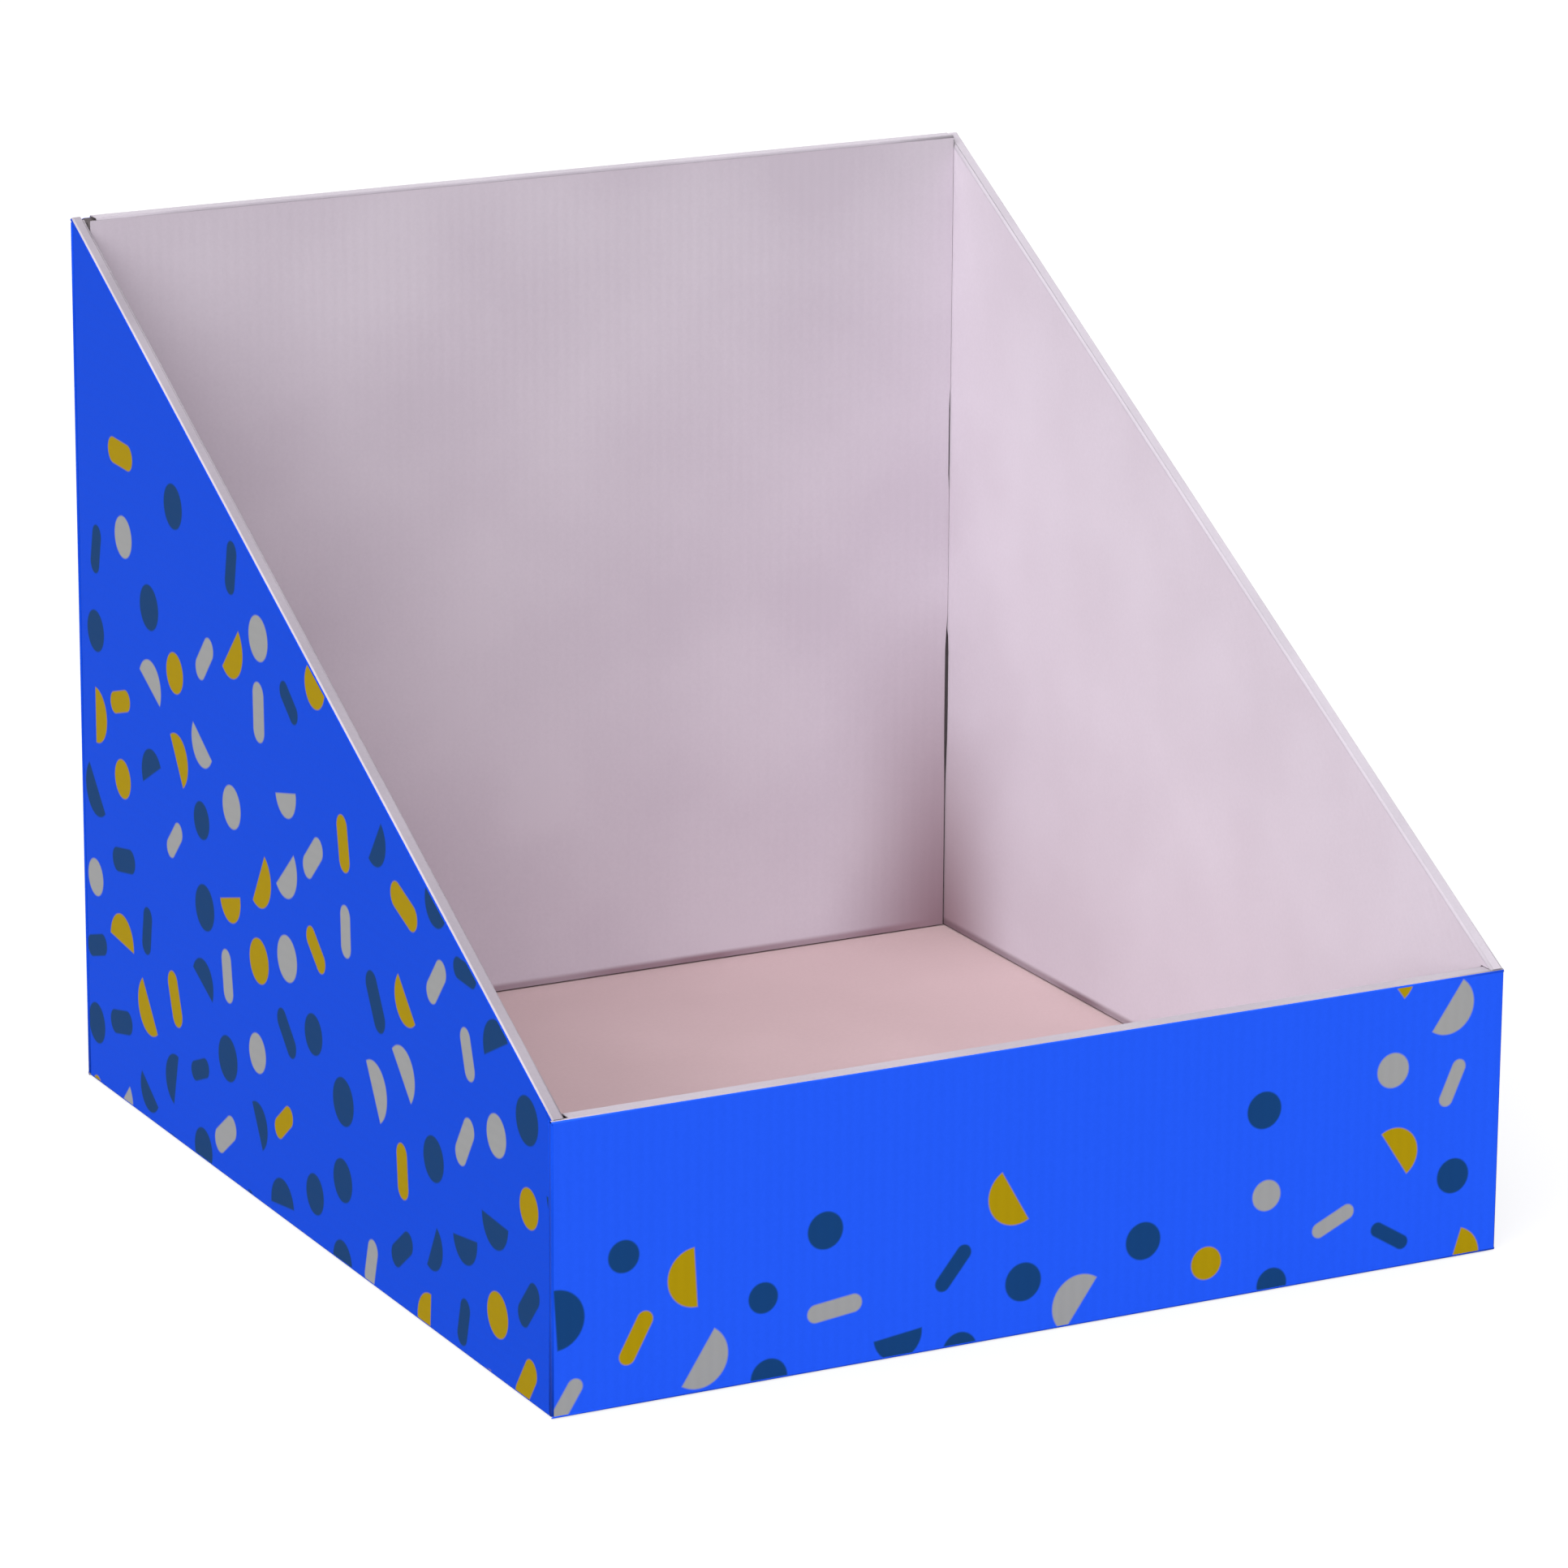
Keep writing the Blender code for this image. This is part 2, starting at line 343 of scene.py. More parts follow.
def printed_liner(name, inks, *plan):
    """Cobalt print, with a scatter of shapes where there is a plan for it."""
    finish, tree, shader = new_finish(name)
    grain = washboard(tree, shader, FLUTE, PRINT_SINK)
    fresh, worn, *shape_inks = inks
    colour = put(tree, MIX, {"Factor": grain, "A": fresh, "B": worn}, data_type="RGBA")
    if plan:
        shown, shape = scatter(tree, shape_inks, *plan)
        colour = put(tree, MIX, {"Factor": shown, "A": colour, "B": shape}, data_type="RGBA")
    feed(tree, shader, {"Base Color": colour, "Roughness": 0.5, "Specular IOR Level": 0.015})
    return finish


front_print = printed_liner(
    "printed liner, front", FRONT_INKS, FRONT_SHAPES, FRONT_SEED, FRONT_FADE, FRONT_MORE_FROM)
shaded_sides_print = printed_liner("printed liner, sides, in painted shade", SHADED_SIDES_INKS, SIDE_SHAPES, SIDE_SEED, SIDE_FADE)
plain_front = printed_liner("plain printed liner, front", FRONT_INKS)
plain_shaded_sides = printed_liner("plain printed liner, sides, in painted shade", SHADED_SIDES_INKS)
print("printed liners:", [made.name for made in (front_print, shaded_sides_print, plain_front, plain_shaded_sides)])

# %% [markdown]
# ## Painted shade on the lining
# The lining is painted darker where shade falls: low in the two back corners, and in the seam along the
# stiffener. Both are shares from 0 to 1, worked out from the place on the box, that mix in a shade colour.

# %% Painted shade
# How far the painted shade reaches from the back corners and up them, and its band and patches in the seam.
CORNER_REACH, CORNER_LOW = 45 * MM, 10 * MM
BACK_SHADE_TOP, SIDE_SHADE_TOP = 115 * MM, 75 * MM
FOOT_LINE, FOOT_PATCH = (PAD_TOP + 1.5 * MM, PAD_TOP + 3.1 * MM), 35 * MM
FOOT_UNEVEN, FOOT_LEAST = (0.35, 0.6), 0.65


def corner_painted_shade(tree, place, shade_top):
    """Painted shade at the foot of the two back corners of the lining, gone at a height."""
    x, y, z = put(tree, SPLIT, [place]).outputs
    from_middle = put(tree, MATH, [x], "ABSOLUTE")
    aside = put(tree, MATH, (HALF_WIDTH - SIDE_ROLL, from_middle), "SUBTRACT")
    before = put(tree, MATH, (HALF_DEPTH - END_ROLL, y), "SUBTRACT")
    away = put(tree, MATH, [put(tree, MATH, (gap, 0.0), "MAXIMUM") for gap in (aside, before)], "ADD")
    near = put(tree, RANGE, (away, 0.0, CORNER_REACH, 1.0, 0.0), interpolation_type="SMOOTHSTEP")
    low = put(tree, RANGE, (z, CORNER_LOW, shade_top, 1.0, 0.0))
    return put(tree, MATH, (near, low), "MULTIPLY")


def foot_painted_shade(tree, place):
    """Painted shade in the seam of lining and stiffener: uneven, and gone three millimetres up."""
    high = put(tree, SPLIT, [place]).outputs["Z"]
    near = put(tree, RANGE, (high, *FOOT_LINE, 1.0, 0.0), interpolation_type="SMOOTHSTEP")
    uneven = put(tree, NOISE, {"Vector": place, "Scale": 1 / FOOT_PATCH, "Detail": 1.0})
    share = put(tree, RANGE, (uneven, *FOOT_UNEVEN, FOOT_LEAST, 1.0))
    return put(tree, MATH, (near, share), "MULTIPLY")


# The heights in mm where the painted shade of the back corners ends.
print("dust up to", [round(height / MM) for height in (BACK_SHADE_TOP, SIDE_SHADE_TOP)], "mm")

# %% [markdown]
# ## White liner and test liner
# Rolled over at the rim, the sheet shows its top side again, and there it is left white, with a faint lilac
# cast and soft cloudy patches a few centimetres wide where the fibres lie denser. The side linings are a
# little lighter, as painted light. The rims are painted greyer, as painted shade, and most so on the left.
# The stiffener on the floor has a warmer, slightly pink liner. The back of the sheet and the fluting are
# grey test liner, made of used paper. They show only at cut edges, in the narrow gaps and when the box is
# opened out.

# %% Papers
GRAIN_IN_TONE = 0.25
TONE_FROM, TONE_TO = 0.35, 0.65
LINING_PATCH, RIM_PATCH, PAD_PATCH, TEST_PATCH = 45 * MM, 30 * MM, 60 * MM, 12 * MM


def paper_liner(name, light, dark, patch, pitch=FLUTE, sink=LINER_SINK, shade_greys=None, shade_top=BACK_SHADE_TOP):
    """Paper in two close tones, with painted shade: one colour for the corners and one for the foot of a
    lining.
    """
    finish, tree, shader = new_finish(name)
    grain = washboard(tree, shader, pitch, sink)
    place = put(tree, "ShaderNodeTexCoord").outputs["Object"]
    cloud = put(tree, NOISE, {"Vector": place, "Scale": 1 / patch, "Detail": 2.0, "Roughness": 0.4})
    tone = put(tree, MIX, {"Factor": GRAIN_IN_TONE, "A": cloud, "B": grain})
    spread = put(tree, RANGE, (tone, TONE_FROM, TONE_TO, 0.0, 1.0))
    colour = put(tree, MIX, {"Factor": spread, "A": ink(dark), "B": ink(light)}, data_type="RGBA")
    # Painted shade: darker colours mixed in low in the back corners and along the foot of the lining.
    if shade_greys:
        for share, grey in zip((corner_painted_shade(tree, place, shade_top), foot_painted_shade(tree, place)), shade_greys):
            colour = put(tree, MIX, {"Factor": share, "A": colour, "B": ink(grey)}, data_type="RGBA")
    feed(tree, shader, {"Base Color": colour, "Roughness": 0.65, "Specular IOR Level": 0.3})
    return finish


# Coated white liner: a soft lilac white with faint clouds, matt enough to show no highlight.
# Its back corners and its foot get painted shade.
white_liner = paper_liner("white liner", "#CBC2CD", "#C3B9C5", LINING_PATCH, shade_greys=("#8F7681", "#8F7681"))
# Side linings: the same liner painted a little lighter, as painted light, with their own painted shade.
painted_light_sides_liner = paper_liner("white liner, sides, painted light", "#D0C7D2", "#C9BFCA", LINING_PATCH,
                         shade_greys=("#988089", "#745D67"), shade_top=SIDE_SHADE_TOP)
# The same liner painted flatter and greyer for the rims, as painted shade, darkest on the left rim.
rim_shade_liner = paper_liner("white liner, rim in painted shade", "#B0A8B2", "#A69EA8", RIM_PATCH)
slope_shade_liner = paper_liner("white liner, slanted rim in painted shade", "#BFB7C1", "#B6AEB8", RIM_PATCH)
left_rim_shade_liner = paper_liner("white liner, left rim in deeper painted shade", "#A098A2", "#968E98", RIM_PATCH)
# Uncoated off-white liner: warm and even, with the wide, faint lines of coarser flutes.
pad_liner = paper_liner("off-white pad liner", "#C5ACAE", "#BDA4A6", PAD_PATCH, pitch=PAD_FLUTE)
# Test liner of used paper: a dull, blotchy grey.
test_liner = paper_liner("grey test liner", "#857C80", "#787074", TEST_PATCH, sink=PRINT_SINK)
print("all liners:", [made.name for made in bpy.data.materials if "liner" in made.name])

# %% [markdown]
# ## Outlines
# Each panel of the box is a flat convex plate, so its outline is the hull of its solid's points, seen square
# on. That is surer than following the solid's edges one by one.

# %% Panel places and outlines
X, Y, Z = map(Vector, ((1, 0, 0), (0, 1, 0), (0, 0, 1)))
LEFT, RIGHT, DOWN, UP = (-1, 0), (1, 0), (0, -1), (0, 1)
ON_EDGE = 3e-5
SAME_WAY = 0.999


class Place:
    """The print side of a panel: a point on it, the ways across and up, and the way into the board."""

    def __init__(self, point, across, up, inward):
        self.point, self.across, self.up, self.inward = map(Vector, (point, across, up, inward))

    def flat(self, point):
        return Vector(((point - self.point).dot(self.across), (point - self.point).dot(self.up)))

    def solid(self, point, depth=0.0):
        return self.point + self.across * point[0] + self.up * point[1] + self.inward * depth


def hull(points):
    """Convex outline of flat points, anticlockwise, without points that lie on its edges."""
    points = sorted({(round(p.x, 7), round(p.y, 7)) for p in points})
    sides = []
    for run in (points, points[::-1]):
        side = []
        for x, y in run:
            while len(side) > 1:
                (ax, ay), (bx, by) = side[-2:]
                if (bx - ax) * (y - ay) - (by - ay) * (x - ax) > ON_EDGE * math.hypot(x - ax, y - ay):
                    break
                side.pop()
            side.append((x, y))
        sides += side[:-1]
    return [Vector(point) for point in sides]


def edges(ring):
    """The two ends of each edge of an outline, or of a ring of points."""
    return list(zip(ring, ring[1:] + ring[:1]))


def edge_ways(outline):
    """The outward way of each edge."""
    return [Vector((b.y - a.y, a.x - b.x)).normalized() for a, b in edges(outline)]


def alike(way, ways):
    return any(way.dot(Vector(other)) > SAME_WAY for other in ways)


def edge_depth(point, outline):
    """How far inside the outline a point lies, from its nearest edge."""
    return min((b - a).normalized().cross(point - a) for a, b in edges(outline))


print("ways on a panel:", LEFT, RIGHT, DOWN, UP)

# %% [markdown]
# ## Changes to an outline
# Folded edges of a solid stop just short of the crease, and they are moved out to it here. A few cut edges
# move too, and corners can be cut off.

# %% Moved and cut outlines
def moved_edges(outline, amounts):
    """The outline with each edge moved in by its own amount."""
    runs = [(b - a).normalized() for a, b in edges(outline)]
    return [corner + (runs[i] * amounts[i - 1] - runs[i - 1] * amounts[i]) / runs[i - 1].cross(runs[i])
            for i, corner in enumerate(outline)]


def cut_off(outline, folded, start, end):
    """The outline without what lies to the right of the line from start to end."""
    start, end = Vector(start), Vector(end)
    kept, flags = [], []
    for (here, there), fold in zip(edges(outline), folded):
        in_here, in_there = ((end - start).cross(point - start) for point in (here, there))
        if in_here >= 0:
            kept.append(here)
            flags.append(fold)
        if in_here * in_there < 0:
            kept.append(here.lerp(there, in_here / (in_here - in_there)))
            flags.append(fold and in_there > 0)
    return kept, flags


def plan_of(node, place, folds, cuts=(), grown=()):
    """A panel's outline and which edges are folds. grown gives ways whose edge moves out by an amount."""
    outline = hull([place.flat(vertex.co) for vertex in frame["nodes"][node].data.vertices])
    ways = edge_ways(outline)
    folded = [alike(way, folds) for way in ways]
    moves = [-CREASE_IN if fold else 0.0 for fold in folded]
    for way, amount in grown:
        moves = [move - amount if alike(own, [way]) else move for own, move in zip(ways, moves)]
    outline = moved_edges(outline, moves)
    for start, end in cuts:
        outline, folded = cut_off(outline, folded, start, end)
    return outline, folded


lip_plan, lip_folds = plan_of("front_outer_wall", Place((0, -HALF_DEPTH, 0), X, Z, Y), [DOWN, UP])
print("lip with", sum(lip_folds), "folds, mm:", [tuple(round(v / MM, 2) for v in p) for p in lip_plan])

# %% [markdown]
# ## Fluting
# Between the liners runs a paper wave. It only shows where the board is cut, so a ribbon of it a few
# millimetres deep along each cut edge is enough. It repeats by a simple rule, so a Geometry Nodes tree makes
# it: a grid, lifted by a sine.

# %% Fluting tree
FLUTE_STEPS, LEAST_STEPS = 8, 3
RIBBON_DEEP = 5 * MM


def fluting_tree():
    tree = bpy.data.node_groups.new("fluting ribbon", "GeometryNodeTree")
    for name in ("Length", "Deep", "Pitch", "Height"):
        tree.interface.new_socket(name, in_out="INPUT", socket_type="NodeSocketFloat")
    tree.interface.new_socket("Paper", in_out="INPUT", socket_type="NodeSocketMaterial")
    tree.interface.new_socket("Ribbon", in_out="OUTPUT", socket_type="NodeSocketGeometry")
    sizes = put(tree, "NodeGroupInput").outputs
    waves = put(tree, MATH, (sizes["Length"], sizes["Pitch"]), "DIVIDE")
    steps = put(tree, MATH, (waves, FLUTE_STEPS, LEAST_STEPS), "MULTIPLY_ADD")
    grid = put(tree, "GeometryNodeMeshGrid", {
        "Size X": sizes["Length"], "Size Y": sizes["Deep"], "Vertices X": steps, "Vertices Y": 2})
    along = put(tree, SPLIT, [put(tree, "GeometryNodeInputPosition")]).outputs["X"]
    part = put(tree, MATH, (along, sizes["Pitch"]), "DIVIDE")
    phase = put(tree, MATH, (part, 2 * math.pi), "MULTIPLY")
    wave = put(tree, MATH, [phase], "SINE")
    half_height = put(tree, MATH, (sizes["Height"], 2.0), "DIVIDE")
    lift = put(tree, MATH, (wave, half_height), "MULTIPLY")
    raised = put(tree, "GeometryNodeSetPosition", {
        "Geometry": grid.outputs["Mesh"], "Offset": put(tree, JOIN, {"Z": lift})})
    real = put(tree, "GeometryNodeRealizeInstances", {"Geometry": raised})
    ended = put(tree, "GeometryNodeSetMaterial", {"Geometry": real, "Material": sizes["Paper"]})
    put(tree, "NodeGroupOutput", {"Ribbon": ended})
    return tree


fluting = fluting_tree()


def ribbon_mesh(**sizes):
    carrier = new_object("ribbon", bpy.data.meshes.new("ribbon"))
    modifier = carrier.modifiers.new("fluting", "NODES")
    modifier.node_group = fluting
    for item in fluting.interface.items_tree:
        if item.in_out == "INPUT":
            modifier[item.identifier] = sizes[item.name]
    graph = bpy.context.evaluated_depsgraph_get()
    mesh = bpy.data.meshes.new_from_object(carrier.evaluated_get(graph), depsgraph=graph)
    bpy.data.objects.remove(carrier)
    return mesh


print("fluting tree of", len(fluting.nodes), "nodes")

# %% [markdown]
# ## Liners and ribbons in a panel
# A liner is a thin slab over the whole outline. A ribbon of fluting gets the thickness of paper and is set
# along one cut edge. Where the cut runs along the flutes there are no waves to see, and the ribbon is a
# single slope of paper.

# %% Slabs and ribbons
# The papers of a piece: its face, then its reverse or the far half of an arc, then its core.
FACE, SECOND, CORE = 0, 1, 2
ALONG_FLUTES = 0.2
NO_WAVES = 40
RIBBON_BACK = 0.1 * MM


def add_slab(mesh, place, outline, near, far, slot):
    """One liner between two depths. Its far side is always the reverse of the paper."""
    over, under = ([mesh.verts.new(place.solid(p, depth)) for p in outline] for depth in (near, far))
    faces = [mesh.faces.new(over), mesh.faces.new(under[::-1])]
    faces += [mesh.faces.new((b, a, c, d)) for (a, b), (c, d) in zip(edges(over), edges(under))]
    edge_slot = CORE if slot == SECOND else slot
    for face, own_slot in zip(faces, [slot, SECOND] + [edge_slot] * len(outline)):
        face.material_index = own_slot


def inside_point(point, along, way, outline):
    """The first point from here along an edge where a ribbon's inner corner lies inside the outline."""
    while edge_depth(point - way * RIBBON_DEEP, outline) < 0:
        point = point + along * PAPER
    return point


def add_ribbon(mesh, place, start, end, way, flute_way, pitch, near, far):
    """Fluting along one cut edge."""
    run = end - start
    along = run.normalized()
    across = abs(along.cross(flute_way))
    high = far - near - PAPER
    made = ribbon_mesh(
        Length=run.length, Deep=RIBBON_DEEP, Height=high, Paper=test_liner,
        Pitch=pitch / across if across > ALONG_FLUTES else NO_WAVES * run.length)
    if across <= ALONG_FLUTES:
        for vertex in made.vertices:
            vertex.co.z = high * (vertex.co.y / RIBBON_DEEP)
    bm = bmesh.new()
    bm.from_mesh(made)
    bmesh.ops.solidify(bm, geom=bm.faces[:], thickness=PAPER)
    middle = (start + end) / 2 - way * (RIBBON_DEEP / 2 + RIBBON_BACK)
    new = {}
    for vertex in bm.verts:
        flat = middle + along * vertex.co.x + way * vertex.co.y
        new[vertex] = mesh.verts.new(place.solid(flat, (near + far) / 2 + vertex.co.z - PAPER / 2))
    for face in bm.faces:
        mesh.faces.new([new[vertex] for vertex in face.verts]).material_index = CORE
    bm.free()
    bpy.data.meshes.remove(made)


print("ribbons are", RIBBON_DEEP / MM, "mm deep")

# %% [markdown]
# ## From mesh to piece
# Every piece gets two maps in metres: where a point lies in the print, and where it lies along and across
# the flutes. The finishes read them, so a print or a wave never slides when the piece moves.

# %% Pieces of board
def new_piece(bm, name, finishes, print_map, flute_map):
    """An object from a mesh, with its finishes and its two maps, given as functions of a point."""
    layers = [bm.loops.layers.uv.new(title) for title in ("panel", "flute")]
    for face in bm.faces:
        for loop in face.loops:
            loop[layers[0]].uv = print_map(loop.vert.co)
            loop[layers[1]].uv = flute_map(loop.vert.co)
    mesh = bpy.data.meshes.new(name)
    bm.to_mesh(mesh)
    bm.free()
    for finish in finishes:
        mesh.materials.append(finish)
    return new_object(name, mesh)


def board_piece(bm, name, place, flute_way, finishes, print_from=0.0):
    """A flat piece of board. print_from is where its print begins in the endless scatter."""
    def print_map(point):
        return place.flat(point) + Vector((print_from, 0))

    def flute_map(point):
        flat = place.flat(point)
        return flat.dot(flute_way), flute_way.cross(flat)

    return new_piece(bm, name, finishes, print_map, flute_map)


def fasten(piece, body):
    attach(piece, body)


def papers(face, second=test_liner):
    return face, second, test_liner


print("papers of a printed board:", [paper.name for paper in papers(front_print)])

# %% [markdown]
# ## A panel of board
# A panel is the print-side liner, the back liner and the fluting ribbons in one mesh. The print-side liner
# stops where the rounding of a crease begins, because the crease strip goes on from there. Long panels are
# cut into a grid and pushed out by a fraction of a millimetre in the middle, since no board is quite flat.

# %% Build a panel
GRID_STEP = 16 * MM
BOW_REACH = 70 * MM
LEAST_WAVES = 3


def smooth(low, high, value):
    share = min(1.0, max(0.0, (value - low) / (high - low)))
    return share * share * (3 - 2 * share)


def cut_grid(bm, place, outline, step):
    for k, way in ((0, place.across), (1, place.up)):
        low, high = min(point[k] for point in outline), max(point[k] for point in outline)
        count = round((high - low) / step)
        for i in range(1, count):
            at = low + (high - low) * i / count
            bmesh.ops.bisect_plane(bm, geom=bm.verts[:] + bm.edges[:] + bm.faces[:],
                                   plane_co=place.point + way * at, plane_no=way)


def panel(name, node, place, folds, finishes, flute_turn=0.0, bow=0.0, thick=BOARD, pitch=FLUTE,
          stops=(), crushed=(), grid=GRID_STEP, edge_shift=None, print_from=0.0, **plan):
    """A panel of board in place of a node. stops says where the face liner ends early, or late below 0."""
    outline, folded = plan_of(node, place, folds, **plan)
    ways = edge_ways(outline)
    flute_way = Vector((math.cos(flute_turn), math.sin(flute_turn)))
    closed = [alike(way, crushed) for way in ways]
    short = [CREASE_ROUND - LAP if fold else 0.0 for fold in folded]
    for stop, amount in [*stops, *((way, EDGE_ROUND - LAP) for way in crushed)]:
        short = [amount if alike(way, [stop]) else old for way, old in zip(ways, short)]
    cut_short = [LINER + LAP if shut else 0.0 for shut in closed]
    back_short = [thick + LAP if fold else cut for fold, cut in zip(folded, cut_short)]
    bm = bmesh.new()
    add_slab(bm, place, moved_edges(outline, short), 0.0, LINER, FACE)
    add_slab(bm, place, moved_edges(outline, back_short), thick - LINER, thick, SECOND)
    bmesh.ops.recalc_face_normals(bm, faces=bm.faces[:])
    cut_grid(bm, place, outline, grid)
    for vertex in bm.verts:
        flat = place.flat(vertex.co)
        vertex.co -= place.inward * bow * smooth(0.0, BOW_REACH, edge_depth(flat, outline))
        if edge_shift:
            aside, upward = edge_shift(flat, outline)
            vertex.co += place.across * aside + place.up * upward
    core = moved_edges(outline, [thick if fold else 0.0 for fold in folded])
    for (start, end), way, fold, shut in zip(edges(core), edge_ways(core), folded, closed):
        if not fold and not shut and (end - start).length > LEAST_WAVES * pitch:
            along = (end - start).normalized()
            start = inside_point(start + along * PAPER, along, way, core)
            end = inside_point(end - along * PAPER, -along, way, core)
            add_ribbon(bm, place, start, end, way, flute_way, pitch, LINER, thick - LINER)
    piece = board_piece(bm, name, place, flute_way, finishes, print_from)
    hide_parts(node)
    return piece


print("panels are cut every", GRID_STEP / MM, "mm")

# %% [markdown]
# ## Base and stiffener
# The base is the middle of the sheet. Its print side is the underside. On it lies a loose stiffener of
# thicker board, which is what one sees as the floor of the box.

# %% Base and stiffener
ALONG, UPRIGHT = 0.0, math.pi / 2
PAD_BOW = 0.8 * MM
base = panel("base_board", "base_panel", Place((0, 0, 0), X, Y, Z), [DOWN, UP, LEFT, RIGHT],
             papers(plain_shaded_sides), UPRIGHT)
pad = panel("stiffener_board", "floor_pad", Place((0, 0, PAD_TOP), X, Y, -Z), [],
            papers(pad_liner, pad_liner), ALONG, bow=PAD_BOW, thick=PAD, pitch=PAD_FLUTE)
fasten(base, "tray")
fasten(pad, "tray")
print("base and stiffener:", len(base.data.polygons), "+", len(pad.data.polygons), "faces")

# %% [markdown]
# ## Gaps in the back corners
# In the back corners two linings meet without being joined. Their edges touch near the top and half-way up,
# come close at the foot and gape a little in between, as edges of board do that were pushed in by hand. One
# share says how far a corner is closed at a height, and both linings push their edges together by it.

# %% Closing of the corners
GAP_NEAR = 12 * MM
BACK_CLOSED, SIDE_CLOSED = 0.75 * MM, 2.4 * MM
HEAD_FROM, WAIST_FROM, WAIST_TO, HALF_FROM, FOOT_TO = (
    (low * MM, high * MM) for low, high in ((164, 174), (96, 103), (142, 150), (100, 110), (45, 72)))
HALF_SHUT, LEAST_SHUT, FOOT_SHUT = 0.55, 0.12, 0.45
SLOPE = math.atan2(UP_SLOPE.z, UP_SLOPE.y)
RISE, RUN = math.sin(SLOPE), math.cos(SLOPE)


def corner_shut(high):
    """How far a back corner of the lining is closed at a height."""
    shut = smooth(*HEAD_FROM, high) + smooth(*WAIST_FROM, high) * (1 - smooth(*WAIST_TO, high))
    foot = LEAST_SHUT + FOOT_SHUT * (1 - smooth(*FOOT_TO, high))
    return max(shut, HALF_SHUT * smooth(*HALF_FROM, high), foot)


def back_gap(flat, outline):
    """How far the back lining's upright edges spread sideways, to close the corner gaps."""
    reach = max(point.x for point in outline)
    spread = BACK_CLOSED * corner_shut(flat.y) * smooth(reach - GAP_NEAR, reach, abs(flat.x))
    return math.copysign(spread, flat.x), 0.0


def side_gap(flat, outline):
    """How far a side lining's rear edge pushes back, to close the gap, and up with the rim's slope."""
    rear = max(point.x for point in outline)
    push = SIDE_CLOSED * corner_shut(flat.y) * smooth(rear - GAP_NEAR, rear, flat.x)
    return push, push * RISE / RUN * smooth(LIP_HEIGHT, BACK_HEIGHT - GAP_NEAR, flat.y)


print("closed share every 50 mm:", [round(corner_shut(high * MM), 2) for high in range(0, 251, 50)])

# %% [markdown]
# ## Front and back
# Both are rolled over in the same way: an outer wall up from the base, a spine across the rim, and an inner
# wall down to just above the stiffener. The flutes run from front to back in the sheet, so they stand
# upright in these walls. The top corners of the back are cut off a little, so that the slanted rims of the
# sides can end over them.

# %% Front and back boards
SPINE_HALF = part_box("front_spine")[1].x
# Where each wall's print begins in the scatter, so that no two walls show the same piece of it.
PRINT_FROM = {"front": 0.0, "left": 0.0, "back": 0.45, "right": 0.9}
# How far the liner of each spine goes on past the left and the right end of its solid.
FRONT_LATE, BACK_LATE = (0.8 * MM, 1.9 * MM), (0.0, 1.9 * MM)
CORNER_CUT = 2.4 * MM
FOOT_LONG = 0.55 * MM
OUTER_BOW, LINING_BOW = -0.2 * MM, 0.5 * MM
LINING_GRID = GRID_STEP / 3
BACK_CUTS = [((HALF_WIDTH, BACK_HEIGHT - CORNER_CUT), (SPINE_HALF + BACK_LATE[1], BACK_HEIGHT)),
             ((-SPINE_HALF - BACK_LATE[0], BACK_HEIGHT), (-HALF_WIDTH, BACK_HEIGHT - CORNER_CUT))]


def rolled_end(side, way, rim, outer_face, cuts, late, edge_shift=None):
    """The three boards of the front (way -1) or the back (way 1)."""
    face, lining = way * HALF_DEPTH, way * (HALF_DEPTH - END_ROLL)
    outer = panel(f"{side}_outer_board", f"{side}_outer_wall",
                  Place((0, face, 0), X, Z, -way * Y), [DOWN, UP],
                  papers(outer_face), UPRIGHT, bow=OUTER_BOW, crushed=[LEFT, RIGHT], cuts=cuts,
                  print_from=PRINT_FROM[side])
    spine = panel(f"{side}_spine_board", f"{side}_spine",
                  Place((0, face, rim), X, -way * Y, -Z), [DOWN, UP],
                  papers(rim_shade_liner), UPRIGHT, stops=[(LEFT, -late[0]), (RIGHT, -late[1])])
    inner = panel(f"{side}_inner_board", f"{side}_inner_wall",
                  Place((0, lining, 0), X, Z, way * Y), [UP],
                  papers(white_liner), UPRIGHT, bow=LINING_BOW, grid=LINING_GRID,
                  edge_shift=edge_shift, grown=[(DOWN, FOOT_LONG)])
    fasten(outer, f"{side}_wall")
    fasten(spine, f"{side}_rim")
    fasten(inner, f"{side}_lining")
    print(side, [len(piece.data.polygons) for piece in (outer, spine, inner)], "faces")


rolled_end("front", -1, LIP_HEIGHT, front_print, (), FRONT_LATE)
rolled_end("back", 1, BACK_HEIGHT, shaded_sides_print, BACK_CUTS, BACK_LATE, back_gap)
print("spines reach", round(SPINE_HALF / MM, 2), "mm to each side")

# %% [markdown]
# ## Sides
# A side is rolled over along a slanted crease. That turns the flutes: they lie level in the outer wall, and
# after the fold over the slanted rim they run down at twice the slope in the inner wall. The corner flaps
# are creased to the side's upright edges and hide inside the front and the back.

# %% Side boards
OVER_RIM, DOWN_RIM = (-RISE, RUN), (-RUN, -RISE)
# The rim liners of the sides are painted greyer as shade, the left one darkest.
SIDE_RIMS = {"left": left_rim_shade_liner, "right": slope_shade_liner}
RIM_SHORT, LINING_SHORT = 0.4 * MM, 0.1 * MM
RIM_FRONT, RIM_BACK = RIM_SHORT - HALF_DEPTH, HALF_DEPTH - RIM_SHORT
LINING_BACK = HALF_DEPTH - BOARD - LINING_SHORT
RIM_LATE = (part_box("left_spine")[0].y - RIM_FRONT) / RUN
RIM_LATE_BACK = (RIM_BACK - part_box("left_spine")[1].y + BOARD * RISE) / RUN
LINING_GROWN = 2.1 * MM


